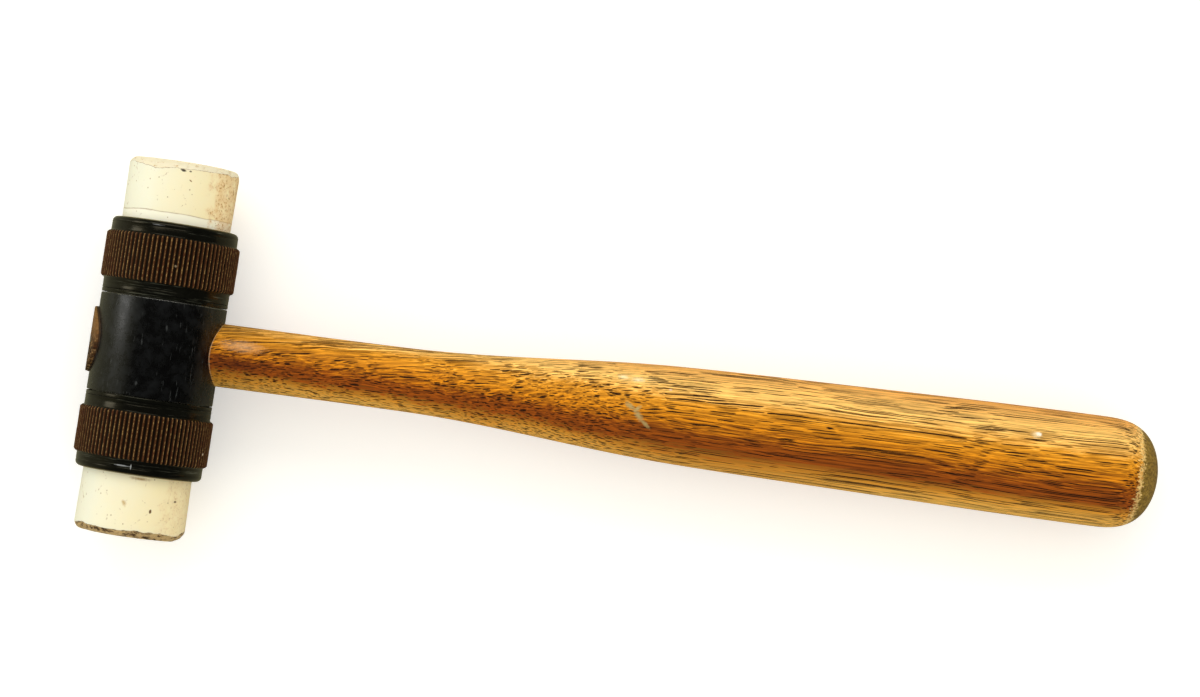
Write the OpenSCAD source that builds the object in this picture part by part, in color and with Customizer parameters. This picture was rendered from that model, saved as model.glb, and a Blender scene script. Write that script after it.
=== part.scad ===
// Soft-face mallet, lying on its side as it is put down on a bench.
// A turned wooden handle is wedged in the eye of a steel head barrel. A plastic striking face
// stands at each end of the barrel, held by the inner lip of a knurled collar that screws on to
// the barrel's threaded spigot. The head axis runs along Y, the handle points to +X, and the
// bench is the plane Z = 0.

/* [Striking faces] */
// Diameter of a striking face at its outer end
face_d = 31.5; // [28:0.1:36]
// How much narrower a striking face is at its flange
face_flare = 0.7; // [0:0.1:1.2]
// How far a striking face stands out of its collar
face_reach = 17.6; // [12:0.2:26]
// Radius of the worn edge round a striking surface
face_edge = 2.8; // [0.6:0.1:5]
// Step from a striking face out to its clamped flange
flange_step = 0.7; // [0.5:0.05:1.2]
// Thickness of the clamped flange
flange_thick = 4; // [2.5:0.1:6]

/* [Threads] */
// Distance that a collar travels in one turn
thread_pitch = 2; // [1.7:0.1:2.6]
// Depth of the thread from crest to root
thread_depth = 0.5; // [0.4:0.05:0.7]
// Radial gap between a collar's thread and the spigot's
thread_clearance = 0.12; // [0.1:0.01:0.2]
// Length of the threaded spigot at each end of the barrel
spigot_len = 13; // [10:0.5:20]

/* [Collars] */
// Thickness of a collar's wall outside the thread
collar_wall = 0.78; // [0.6:0.02:2]
// Gap between a tightened collar and the barrel's shoulder
collar_gap = 0.4; // [0.2:0.1:1]
// Thickness of the lip that clamps a striking face's flange
lip_thick = 4.9; // [3:0.1:7]
// Radial gap between the lip and the striking face
mouth_clearance = 0.15; // [0.1:0.05:0.4]
// Radial gap round the flange, inside a collar and inside its thread
flange_clearance = 0.15; // [0.1:0.05:0.4]
// Length of the smooth band next to the barrel
inner_band = 4.1; // [2:0.1:6]
// Length of the smooth band next to the striking face
outer_band = 4.2; // [2:0.1:6]
// Radius that rounds a collar's outer rim
rim_round = 1.4; // [0.4:0.1:1.8]
// Height of the knurl's ridges above the smooth bands
knurl_rise = 1.05; // [0.6:0.05:2]
// Depth of the grooves between the knurl's ridges
knurl_depth = 0.5; // [0.2:0.05:0.55]
// Number of ridges round the knurl
knurl_count = 88; // [40:4:120]

/* [Barrel] */
// Length of the barrel between its two shoulders
barrel_len = 28; // [26:0.5:40]
// Chamfer round each end of the barrel
barrel_chamfer = 0.4; // [0.2:0.1:1]
// How much wider the eye is at the wedged end of the handle
eye_widening = 0.7; // [0:0.1:1.6]
// How far the eye lies from the middle of the barrel
eye_offset = 0.6; // [0:0.1:1]

/* [Handle] */
// Reach of the handle from the head axis to the end of the butt
handle_reach = 291.5; // [260:0.5:420]
// How far the handle leans from square to the head axis, in degrees
handle_skew = 1.15; // [0:0.05:2]
// How far the wedged end, filed to the barrel's curve, stands out of the barrel
tenon_proud = 1.2; // [0.2:0.1:4]
// Chamfer round the wedged end
tenon_chamfer = 0.5; // [0.2:0.1:1.5]
// Diameter of the handle where it enters the eye
neck_d = 18.1; // [14:0.1:20]
// Diameter of the handle where the neck ends
neck_end_d = 18.4; // [18.2:0.1:22]
// Distance of that place from the head axis
neck_end = 72; // [50:1:90]
// Diameter of the handle where the grip begins
swell_d = 28.3; // [24:0.1:30]
// Distance of that place from the head axis
swell_end = 150; // [120:1:170]
// Diameter of the handle under the palm
palm_d = 30.1; // [30:0.1:32]
// Distance of that place from the head axis
palm_at = 190; // [180:1:215]
// Largest diameter of the grip
grip_d = 32.3; // [32.1:0.1:38]
// Length of the rounded end of the butt
butt_len = 19.5; // [12:0.5:30]
// Squareness of the butt's rounding, where 2 is a plain ellipse
butt_fullness = 3.5; // [2:0.1:5]

/* [Wedges] */
// Depth of the wooden wedge from the end of the handle
wood_wedge_len = 26; // [18:0.5:30]
// Thickness of the wooden wedge at its outer end
wood_wedge_thick = 3.2; // [2:0.1:5]
// Depth of the steel wedge from the end of the handle
steel_wedge_len = 14; // [8:0.5:17]
// Thickness of the steel wedge at its outer end
steel_wedge_thick = 2.2; // [1.4:0.1:3]
// Width of the steel wedge
steel_wedge_width = 12; // [8:0.5:13]
// Thickness of both wedges at their tips
wedge_tip = 0.6; // [0.4:0.1:1]

/* [Hidden] */
$fn = 96;

// Diameters follow from the striking face outwards, through flange, thread and collar wall
flange_d = face_d + 2 * flange_step;
mouth_d = face_d + 2 * mouth_clearance;
spigot_root_d = flange_d + 2 * flange_clearance;
spigot_crest_d = spigot_root_d + 2 * thread_depth;
collar_root_d = spigot_crest_d + 2 * thread_clearance;
collar_crest_d = spigot_root_d + 2 * thread_clearance;
barrel_d = collar_root_d + 2 * collar_wall;
knurl_d = barrel_d + 2 * knurl_rise;

// Places along the head axis, measured outwards from its middle
shoulder = barrel_len / 2;
collar_start = shoulder + collar_gap;
spigot_end = shoulder + spigot_len;
flange_end = spigot_end + flange_thick;
collar_end = flange_end + lip_thick;
face_end = collar_end + face_reach;
knurl_start = collar_start + inner_band;
knurl_end = collar_end - outer_band;

// Thread form: 60 degree flanks, a flat crest a quarter of the pitch wide, and a third of a
// turn to fade in and out. A plain relief lies past each end of the ridge, in both pieces.
flank_run = tan(30);
crest_w = thread_pitch / 4;
axial_play = 0.12;
thread_steps = 36;
fade_steps = thread_steps / 3;
relief_len = 1;
spigot_relief = 0.25;
collar_relief = 0.06;
end_room = 0.1;
small_chamfer = 0.3;
thread_bottom = shoulder + relief_len;
thread_top = spigot_end - relief_len;
ridge_room = crest_w / 2 + thread_depth * flank_run + axial_play + end_room;
thread_first = thread_bottom + ridge_room;
thread_last = thread_top - ridge_room;

// Places along the handle, measured from the head axis
tenon_end = barrel_d / 2 + tenon_proud;
butt_start = handle_reach - butt_len;
neck_start = barrel_d / 2;

// Lying on the bench: the knurls and the butt touch it
lie_tilt = asin((knurl_d - grip_d) / 2 / butt_start);
back_reach = tenon_end;
front_reach = handle_reach * cos(handle_skew) * cos(lie_tilt);
middle_x = (front_reach - back_reach) / 2;

// How far a cut runs past the surface that it opens
past = 1;

// Puts the mallet on the bench, with the origin under the middle of its box
module laid_down() {
    translate([-middle_x, 0, knurl_d / 2])
        rotate([0, lie_tilt, 0])
            children();
}

// Turns a shape that was drawn outwards along Z to the end at +Y or at -Y
module at_end(side) {
    laid_down()
        rotate([-90 * side, 0, 0])
            children();
}

// Turns a shape that was drawn along Z on to the line of the handle
module along_handle() {
    laid_down()
        translate([0, eye_offset, 0])
            rotate([0, 0, handle_skew])
                rotate([0, 90, 0])
                    children();
}

// A right-handed screw along Z as one closed shape with flat ends: a ridge wound round a core.
// As a cutter it is grown radially, widened along Z, and starts some whole turns sooner.
module screw(grow, widen, early_turns, top) {
    root_r = spigot_root_d / 2 + grow;
    crest_r = spigot_crest_d / 2 + grow;
    half_foot = crest_w / 2 + thread_depth * flank_run + widen;
    bottom = thread_bottom - early_turns * thread_pitch;
    first = thread_first - early_turns * thread_pitch;
    n = thread_steps;
    last = floor((thread_last - first) / thread_pitch * n);
    ridge = [
        for (i = [0:last])
            let (
                angle = 360 * i / n,
                z = first + thread_pitch * i / n,
                grown = min(1, (i + 1) / fade_steps, (last + 1 - i) / fade_steps),
                r = root_r + (crest_r - root_r) * grown,
                half = half_foot - (r - root_r) * flank_run
            )
            for (corner = [[root_r, -half_foot], [r, -half], [r, half], [root_r, half_foot]])
                [corner[0] * cos(angle), corner[0] * sin(angle), z + corner[1]]
    ];
    rings = [
        for (z = [bottom, top], j = [0:n - 1])
            [root_r * cos(360 * j / n), root_r * sin(360 * j / n), z]
    ];
    low = len(ridge);
    high = low + n;
    // The ridge has four corners to a step: its foot, its crest's two edges, and its foot again
    flanks = [
        for (i = [0:last - 1], k = [0:2])
            let (a = 4 * i + k)
            for (face = [[a, a + 4, a + 5], [a, a + 5, a + 1]])
                face
    ];
    grooves = [
        for (i = [0:last - n - 1])
            let (a = 4 * i + 3, b = 4 * (i + n))
            for (face = [[a, a + 4, b + 4], [a, b + 4, b]])
                face
    ];
    foot = [
        for (j = [0:n - 2])
            for (face = [[low + j, low + j + 1, 4 * j + 4], [low + j, 4 * j + 4, 4 * j]])
                face
    ];
    foot_end = [[low + n - 1, low, 0, 3, 4 * n, 4 * n - 4]];
    head = [
        for (j = [1:n - 1])
            let (
                a = 4 * (last - n + j) + 3,
                b = high + (last + j) % n,
                c = high + (last + j + 1) % n
            )
            for (face = [[a, a + 4, c], [a, c, b]])
                face
    ];
    head_end = [[
        high + (last + 1) % n, high + last % n, 4 * last + 3, 4 * last,
        4 * (last - n) + 3, 4 * (last - n) + 7
    ]];
    ends = [
        [0, 1, 2, 3],
        [4 * last + 3, 4 * last + 2, 4 * last + 1, 4 * last],
        [for (j = [0:n - 1]) low + n - 1 - j],
        [for (j = [0:n - 1]) high + j]
    ];
    outward = concat(flanks, grooves, foot, foot_end, head, head_end, ends);
    polyhedron(
        points = concat(ridge, rings),
        faces = [for (face = outward) [for (k = [len(face) - 1:-1:0]) face[k]]],
        convexity = 10
    );
}

// Half of the barrel with its threaded spigot: plain necks stand at both ends of the thread
module half_barrel() {
    barrel_r = barrel_d / 2;
    neck_r = spigot_root_d / 2 - spigot_relief;
    rotate_extrude()
        polygon([
            [0, 0],
            [barrel_r, 0],
            [barrel_r, shoulder - barrel_chamfer],
            [barrel_r - barrel_chamfer, shoulder],
            [neck_r, shoulder],
            [neck_r, thread_bottom],
            [0, thread_bottom]
        ]);
    screw(0, 0, 0, thread_top);
    translate([0, 0, thread_top])
        cylinder(h = spigot_end - thread_top, r1 = neck_r, r2 = neck_r - small_chamfer);
}

// Radius of the eye, and of the wood that fills it, at a distance x from the head axis
function eye_r(x) = neck_d / 2 + eye_widening / 2 * (neck_start - x) / barrel_d;

module eye() {
    back = -tenon_end - past;
    translate([0, 0, back])
        cylinder(h = neck_start - back, r1 = eye_r(back), r2 = eye_r(neck_start));
    translate([0, 0, neck_start - small_chamfer])
        cylinder(h = small_chamfer + past, d = neck_d);
}

module head_body() {
    color("#23262b")
        difference() {
            union() {
                at_end(1) half_barrel();
                at_end(-1) half_barrel();
            }
            along_handle() eye();
        }
}

// Outline of a collar without its knurl, still solid where the thread is cut
module collar_outline() {
    band_r = barrel_d / 2;
    steps = 5;
    rim = [
        for (i = [0:steps])
            let (a = 90 * i / steps)
            [band_r - rim_round * (1 - cos(a)), collar_end - rim_round * (1 - sin(a))]
    ];
    polygon(concat(
        [
            [0, collar_start],
            [band_r - small_chamfer, collar_start],
            [band_r, collar_start + small_chamfer]
        ],
        rim,
        [
            [mouth_d / 2 + small_chamfer, collar_end],
            [mouth_d / 2, collar_end - small_chamfer],
            [mouth_d / 2, flange_end],
            [collar_crest_d / 2, flange_end],
            [collar_crest_d / 2, spigot_end],
            [0, spigot_end]
        ]
    ));
}

// Straight knurl: ridges with a narrow flat top, cut off at 45 degrees at both ends. The flat
// tops and the flat grooves between them are given as shares of the distance between ridges.
module knurl() {
    ridge_flat = 0.2;
    groove_flat = 0.12;
    crest_r = knurl_d / 2;
    groove_r = crest_r - knurl_depth;
    rooted_r = (barrel_d - collar_wall) / 2;
    cut_off = knurl_rise / 2;
    ridge = [
        [-ridge_flat / 2, crest_r],
        [ridge_flat / 2, crest_r],
        [(1 - groove_flat) / 2, groove_r],
        [(1 + groove_flat) / 2, groove_r]
    ];
    intersection() {
        translate([0, 0, knurl_start])
            linear_extrude(knurl_end - knurl_start)
                polygon([
                    for (i = [0:knurl_count - 1], corner = ridge)
                        let (a = (i + corner[0]) * 360 / knurl_count)
                        [corner[1] * cos(a), corner[1] * sin(a)]
                ]);
        rotate_extrude()
            polygon([
                [rooted_r, knurl_start],
                [crest_r - cut_off, knurl_start],
                [crest_r + past, knurl_start + cut_off + past],
                [crest_r + past, knurl_end - cut_off - past],
                [crest_r - cut_off, knurl_end],
                [rooted_r, knurl_end]
            ]);
    }
}

// A collar: the inner thread runs between a relief at its mouth and one under the flange's bore
module collar() {
    relief_d = collar_root_d + 2 * collar_relief;
    difference() {
        union() {
            rotate_extrude() collar_outline();
            knurl();
        }
        screw(thread_clearance, axial_play, 2, (thread_top + spigot_end) / 2);
        translate([0, 0, collar_start - past])
            cylinder(h = relief_len + past, d = relief_d);
        translate([0, 0, thread_top])
            cylinder(h = spigot_end - thread_top, d = relief_d);
    }
}

module upper_collar() {
    color("#3d2c24") at_end(1) collar();
}

module lower_collar() {
    color("#3d2c24") at_end(-1) collar();
}

// A striking face: a clamped flange, a body that widens outwards and a worn round edge
module striking_face() {
    end_r = face_d / 2;
    foot_r = end_r - face_flare / 2;
    steps = 6;
    worn = [
        for (i = [0:steps])
            let (a = 90 * i / steps)
            [end_r - face_edge * (1 - cos(a)), face_end - face_edge * (1 - sin(a))]
    ];
    rotate_extrude()
        polygon(concat(
            [
                [0, spigot_end],
                [flange_d / 2 - small_chamfer, spigot_end],
                [flange_d / 2, spigot_end + small_chamfer],
                [flange_d / 2, flange_end],
                [foot_r, flange_end]
            ],
            worn,
            [[0, face_end]]
        ));
}

module upper_face() {
    color("#ede4cf") at_end(1) striking_face();
}

module lower_face() {
    color("#ede4cf") at_end(-1) striking_face();
}

// The turned outline passes through these places: distance from the head axis, and radius
grip_stations = [
    [neck_start, neck_d / 2],
    [(neck_start + neck_end) / 2, neck_d / 2],
    [neck_end, neck_end_d / 2],
    [swell_end, swell_d / 2],
    [palm_at, palm_d / 2],
    [butt_start, grip_d / 2]
];
last_station = len(grip_stations) - 1;

function rise(i) =
    (grip_stations[i + 1][1] - grip_stations[i][1])
    / (grip_stations[i + 1][0] - grip_stations[i][0]);

// Slope of the outline at a station, which keeps the curve free of bumps between them
function slope_at(i) =
    i == 0 || i == last_station ? 0 :
    rise(i - 1) * rise(i) <= 0 ? 0 :
    2 * rise(i - 1) * rise(i) / (rise(i - 1) + rise(i));

// Point of the outline between station i and the next one, at a share t of the way
function outline_point(i, t) =
    let (
        a = grip_stations[i],
        b = grip_stations[i + 1],
        run = b[0] - a[0],
        from_a = 2 * t ^ 3 - 3 * t ^ 2 + 1,
        r = from_a * a[1] + (1 - from_a) * b[1]
            + run * ((t ^ 3 - 2 * t ^ 2 + t) * slope_at(i) + (t ^ 3 - t ^ 2) * slope_at(i + 1))
    )
    [r, a[0] + run * t];

// The whole turned wood, from the wedged end to the butt, before it is slit for the wedges
module turned_wood() {
    parts = 8;
    butt_steps = 14;
    shaft = [
        for (i = [0:last_station - 1], k = [0:parts - 1])
            outline_point(i, k / parts)
    ];
    butt = [
        for (k = [0:butt_steps])
            let (a = 90 * k / butt_steps)
            [grip_d / 2 * cos(a), butt_start + butt_len * sin(a) ^ (2 / butt_fullness)]
    ];
    rotate_extrude()
        polygon(concat(
            [
                [0, -tenon_end],
                [eye_r(-tenon_end) - tenon_chamfer, -tenon_end],
                [eye_r(-tenon_end + tenon_chamfer), -tenon_end + tenon_chamfer]
            ],
            shaft,
            butt
        ));
}

// What was filed off the wedged end after wedging, so that it follows the barrel's curve
module filed_off() {
    half = eye_r(-tenon_end) + past;
    difference() {
        translate([-half, -half, -tenon_end - past])
            cube([2 * half, 2 * half, tenon_end / 2 + past]);
        rotate([90 + handle_skew, 0, 0])
            cylinder(h = 4 * half, r = tenon_end, center = true);
    }
}

// A tapered slab from the wedged end inwards, which can reach past the end as a cutter
module wedge_slab(thick, depth, width, beyond) {
    grow = (thick - wedge_tip) / 2 / depth;
    outer = thick / 2 + grow * beyond;
    rotate([90, 0, 0])
        linear_extrude(width, center = true)
            polygon([
                [-outer, -tenon_end - beyond],
                [outer, -tenon_end - beyond],
                [wedge_tip / 2, -tenon_end + depth],
                [-wedge_tip / 2, -tenon_end + depth]
            ]);
}

// The kerf lies in the plane of the head axis, so that the wood spreads sideways in the eye
module wood_slab(beyond) {
    wedge_slab(wood_wedge_thick, wood_wedge_len, neck_d + 4 * eye_widening + past, beyond);
}

module steel_slab(beyond) {
    rotate([0, 0, 90])
        wedge_slab(steel_wedge_thick, steel_wedge_len, steel_wedge_width, beyond);
}

module handle() {
    color("#b5762f")
        along_handle()
            difference() {
                turned_wood();
                filed_off();
                wood_slab(past);
                steel_slab(past);
            }
}

module wood_wedge() {
    color("#c79a5a")
        along_handle()
            difference() {
                intersection() {
                    turned_wood();
                    wood_slab(0);
                }
                filed_off();
                steel_slab(past);
            }
}

module steel_wedge() {
    color("#8b8f94")
        along_handle()
            difference() {
                steel_slab(0);
                filed_off();
            }
}

head_body();
upper_collar();
lower_collar();
upper_face();
lower_face();
handle();
wood_wedge();
steel_wedge();
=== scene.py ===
import bpy
import math
from mathutils import Matrix, Vector, noise


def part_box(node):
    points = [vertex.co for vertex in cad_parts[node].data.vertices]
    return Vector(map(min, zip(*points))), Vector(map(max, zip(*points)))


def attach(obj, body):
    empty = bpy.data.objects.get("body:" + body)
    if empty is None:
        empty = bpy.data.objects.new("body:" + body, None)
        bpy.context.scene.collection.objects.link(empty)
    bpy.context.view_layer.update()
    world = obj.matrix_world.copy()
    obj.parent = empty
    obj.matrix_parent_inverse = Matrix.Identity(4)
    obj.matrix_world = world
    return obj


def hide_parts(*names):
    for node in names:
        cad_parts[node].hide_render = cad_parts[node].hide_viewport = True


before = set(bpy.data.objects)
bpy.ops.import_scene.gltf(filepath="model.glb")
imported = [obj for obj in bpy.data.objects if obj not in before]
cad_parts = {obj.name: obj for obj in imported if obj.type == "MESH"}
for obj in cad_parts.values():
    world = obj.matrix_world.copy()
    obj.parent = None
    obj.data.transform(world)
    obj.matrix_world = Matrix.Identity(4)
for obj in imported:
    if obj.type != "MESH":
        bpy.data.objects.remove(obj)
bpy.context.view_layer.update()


# Head barrel
# A steel bar turned to a plain barrel between two threaded spigots, and bored across for the
# handle. It is finished in black enamel, which years of use have scratched and worn through
# along the edges.
MM = 0.001
head_low, head_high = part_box("head_body")
head_middle = (head_low + head_high) / 2
knurl_low, knurl_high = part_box("upper_collar")
barrel_r = (head_high.x - head_low.x) / 2 / MM
knurl_r = (knurl_high.x - knurl_low.x) / 2 / MM
spigot_end = head_high.y / MM
shoulder = 14
shoulder_round = 0.3
relief_len = 1
thread_bottom = shoulder + relief_len
thread_top = spigot_end - relief_len
thread_pitch = 2
thread_depth = 0.5
crest_w = thread_pitch / 4
flank_run = math.tan(math.radians(30))
spigot_root_r = 16.6
spigot_relief_r = 16.35
eye_offset = 0.6
grip_r = 16.15
butt_start = 272
lie_tilt = math.asin((knurl_r - grip_r) / butt_start)
handle_skew = math.radians(1.15)

lying = Matrix.Translation(head_middle) @ Matrix.Rotation(lie_tilt, 4, "Y")
along_head = {side: lying @ Matrix.Rotation(-side * math.pi / 2, 4, "X") for side in (1, -1)}
along_handle = (
    lying
    @ Matrix.Translation((0, eye_offset * MM, 0))
    @ Matrix.Rotation(handle_skew, 4, "Z")
    @ Matrix.Rotation(math.pi / 2, 4, "Y")
)


def take(piece):
    """Makes a piece the only one selected, and the active one."""
    bpy.ops.object.select_all(action="DESELECT")
    piece.select_set(True)
    bpy.context.view_layer.objects.active = piece


def arc(middle, radius, start, end, steps):
    """Points of a round stretch of an outline, from one angle in degrees to another."""
    angles = [math.radians(start + (end - start) * i / steps) for i in range(steps + 1)]
    return [(middle[0] + radius * math.cos(a), middle[1] + radius * math.sin(a)) for a in angles]


def turned(name, outline, steps):
    """Extrudes a corner along an outline of radius and height, in mm, and turns it round Z."""
    bpy.ops.object.select_all(action="DESELECT")
    bpy.ops.mesh.primitive_plane_add(size=1)
    piece = bpy.context.object
    piece.name = name
    bpy.ops.object.mode_set(mode="EDIT")
    bpy.ops.mesh.select_mode(type="VERT")
    bpy.ops.mesh.select_all(action="SELECT")
    bpy.ops.mesh.merge(type="CENTER")
    last = outline[0]
    bpy.ops.transform.translate(value=(last[0], 0, last[1]))
    for point in outline[1:]:
        step = (point[0] - last[0], 0, point[1] - last[1])
        bpy.ops.mesh.extrude_region_move(TRANSFORM_OT_translate={"value": step})
        last = point
    bpy.ops.object.mode_set(mode="OBJECT")
    lathe = piece.modifiers.new("lathe", "SCREW")
    lathe.axis = "Z"
    lathe.steps = steps
    lathe.render_steps = steps
    lathe.use_merge_vertices = True
    lathe.merge_threshold = 0.0005
    lathe.use_smooth_shade = False
    bpy.ops.object.modifier_apply(modifier="lathe")
    bpy.ops.object.mode_set(mode="EDIT")
    bpy.ops.mesh.select_all(action="SELECT")
    bpy.ops.mesh.normals_make_consistent(inside=False)
    bpy.ops.object.mode_set(mode="OBJECT")
    return piece


# Points closer than this, in mm, count as in one place
near = 0.01


def ridge(name, corners, turns, fade_r):
    """Winds a thread's section, four corners of radius and height, and fades out both ends."""
    whole_turns = math.ceil(turns)
    share = turns / whole_turns
    steps = 40
    bpy.ops.object.select_all(action="DESELECT")
    bpy.ops.mesh.primitive_plane_add(size=1)
    piece = bpy.context.object
    piece.name = name
    order = [0, 1, 3, 2]
    for vertex, k in zip(piece.data.vertices, order):
        vertex.co = (corners[k][0], 0, corners[k][1])
    bpy.ops.object.mode_set(mode="EDIT")
    bpy.ops.mesh.select_all(action="SELECT")
    bpy.ops.mesh.delete(type="ONLY_FACE")
    bpy.ops.object.mode_set(mode="OBJECT")
    winding = piece.modifiers.new("winding", "SCREW")
    winding.axis = "Z"
    winding.angle = 2 * math.pi * share
    winding.screw_offset = thread_pitch * share
    winding.iterations = whole_turns
    winding.steps = steps
    winding.render_steps = steps
    winding.use_smooth_shade = False
    bpy.ops.object.modifier_apply(modifier="winding")
    crest_r = corners[1][0]
    sections = len(piece.data.vertices) // len(corners)
    fade_sections = round(steps / 3)
    for i, vertex in enumerate(piece.data.vertices):
        radius = math.hypot(vertex.co.x, vertex.co.y)
        if abs(radius - crest_r) < near:
            section = i // len(corners)
            grown = min(1, (section + 1) / fade_sections, (sections - section) / fade_sections)
            vertex.co.xy *= (fade_r + (radius - fade_r) * grown) / radius
    bpy.ops.object.mode_set(mode="EDIT")
    bpy.ops.mesh.select_all(action="SELECT")
    bpy.ops.mesh.select_mode(type="EDGE")
    bpy.ops.mesh.select_all(action="DESELECT")
    bpy.ops.mesh.select_non_manifold()
    bpy.ops.mesh.edge_face_add()
    bpy.ops.mesh.select_all(action="SELECT")
    bpy.ops.mesh.normals_make_consistent(inside=False)
    bpy.ops.object.mode_set(mode="OBJECT")
    return piece


def combine(piece, tool, operation):
    """Joins a tool to a piece, or cuts it out of it, and removes the tool."""
    take(piece)
    step = piece.modifiers.new("combine", "BOOLEAN")
    step.operation = operation
    step.solver = "EXACT"
    step.object = tool
    bpy.ops.object.modifier_apply(modifier="combine")
    bpy.data.objects.remove(tool)


def put(piece, place, smooth_angle):
    """Takes a finished piece from its own axis in mm to its place, and smooths its shading."""
    take(piece)
    piece.matrix_world = place @ Matrix.Scale(MM, 4)
    bpy.ops.object.transform_apply(location=True, rotation=True, scale=True)
    bpy.ops.object.shade_smooth_by_angle(angle=math.radians(smooth_angle))


lead_in = 0.3
half_outline = (
    arc((barrel_r - shoulder_round, shoulder - shoulder_round), shoulder_round, 0, 90, 5)
    + [
        (spigot_relief_r, shoulder),
        (spigot_relief_r, thread_bottom),
        (spigot_root_r, thread_bottom),
        (spigot_root_r, thread_top),
        (spigot_relief_r, thread_top),
        (spigot_relief_r - lead_in, spigot_end),
        (0, spigot_end),
    ]
)
other_half = [(r, -z) for r, z in reversed(half_outline)]
barrel = turned("barrel", other_half + half_outline, steps=192)

crest_half = crest_w / 2
sunk = 0.3
foot_half = crest_half + (thread_depth + sunk) * flank_run
thread_margin = 0.76
thread_first = thread_bottom + thread_margin
thread_turns = (thread_top - thread_margin - thread_first) / thread_pitch
spigot_section = [
    (spigot_root_r - sunk, thread_first - foot_half),
    (spigot_root_r + thread_depth, thread_first - crest_half),
    (spigot_root_r + thread_depth, thread_first + crest_half),
    (spigot_root_r - sunk, thread_first + foot_half),
]
for side in (1, -1):
    thread = ridge("thread", spigot_section, thread_turns, spigot_root_r)
    if side == -1:
        thread.matrix_world = Matrix.Rotation(math.pi, 4, "X")
    combine(barrel, thread, "UNION")

neck_r = 9.05
eye_widening = 0.7
tenon_end = 19.2


def eye_r(x):
    """Radius of the eye at a distance x from the head axis, wider at the wedged end."""
    return neck_r + eye_widening / 2 * (barrel_r - x) / (2 * barrel_r)


overshoot = 1
eye_back = -tenon_end - overshoot
eye_front = barrel_r + overshoot
bpy.ops.object.select_all(action="DESELECT")
bpy.ops.mesh.primitive_cone_add(
    vertices=128,
    radius1=eye_r(eye_back),
    radius2=eye_r(eye_front),
    depth=eye_front - eye_back,
    location=(0, 0, (eye_front + eye_back) / 2),
)
eye_cutter = bpy.context.object
take(eye_cutter)
bpy.ops.object.transform_apply(location=True, rotation=True, scale=True)
eye_cutter.matrix_world = (
    Matrix.Scale(1 / MM, 4) @ along_head[1].inverted() @ along_handle @ Matrix.Scale(MM, 4)
)
combine(barrel, eye_cutter, "DIFFERENCE")
put(barrel, along_head[1], smooth_angle=32)


def linear(code):
    """Linear colour from an sRGB hex value."""
    parts = [int(code[i:i + 2], 16) / 255 for i in (0, 2, 4)]
    return (*[c / 12.92 if c <= 0.04045 else ((c + 0.055) / 1.055) ** 2.4 for c in parts], 1)


def add(tree, kind, inputs=None, **settings):
    """Adds a node with its settings. An input takes a value, a socket, or a node's first output."""
    made = tree.nodes.new("ShaderNode" + kind)
    for name, value in settings.items():
        setattr(made, name, value)
    for name, value in (inputs or {}).items():
        if isinstance(value, bpy.types.Node):
            value = value.outputs[0]
        if isinstance(value, bpy.types.NodeSocket):
            tree.links.new(value, made.inputs[name])
        else:
            made.inputs[name].default_value = value
    return made


def start_material(name, place):
    """A new material, and its pattern's coordinates in mm along the axes of the piece."""
    material = bpy.data.materials.new(name)
    material.use_nodes = True
    tree = material.node_tree
    tree.nodes.clear()
    own = place.inverted()
    mapping = add(
        tree,
        "Mapping",
        {
            "Vector": add(tree, "TexCoord").outputs["Object"],
            "Location": own.translation / MM,
            "Rotation": own.to_euler(),
            "Scale": (1 / MM, 1 / MM, 1 / MM),
        },
    )
    return material, tree, mapping.outputs["Vector"]


def dress(piece, material, body, nodes):
    """Gives a piece its material and its body, and hides the model's nodes that it stands for."""
    piece.data.materials.clear()
    piece.data.materials.append(material)
    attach(piece, body)
    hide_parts(*nodes)


def marked(tree, mm, colour, marks):
    """Lays marks of use, and painted highlights, over a colour: middle, turn and radii in mm, softness, and
    hex colour.
    """
    tatter_size = 0.588
    raggedness = 1.1
    rim = 1.5
    ragged = add(
        tree, "TexNoise", {"Vector": mm, "Scale": 1 / tatter_size, "Detail": 3, "Roughness": 0.7}
    )
    for middle, turn, radii, softness, code in marks:
        spot = add(
            tree,
            "Mapping",
            {"Vector": mm, "Location": middle, "Rotation": turn, "Scale": radii},
            vector_type="TEXTURE",
        )
        away = add(tree, "VectorMath", {0: spot}, operation="LENGTH").outputs["Value"]
        away = add(tree, "Math", {0: ragged, 1: raggedness, 2: away}, operation="MULTIPLY_ADD")
        share = add(tree, "MapRange", {"Value": away, "From Min": rim, "From Max": rim - softness})
        colour = add(tree, "MixRGB", {"Fac": share, "Color1": colour, "Color2": linear(code)})
    return colour


def from_axis(tree, place, across):
    """Distance from an axis, where across holds a 1 for each direction square to it."""
    flat = add(tree, "VectorMath", {0: place, 1: across}, operation="MULTIPLY")
    return add(tree, "VectorMath", {0: flat}, operation="LENGTH").outputs["Value"]


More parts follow.
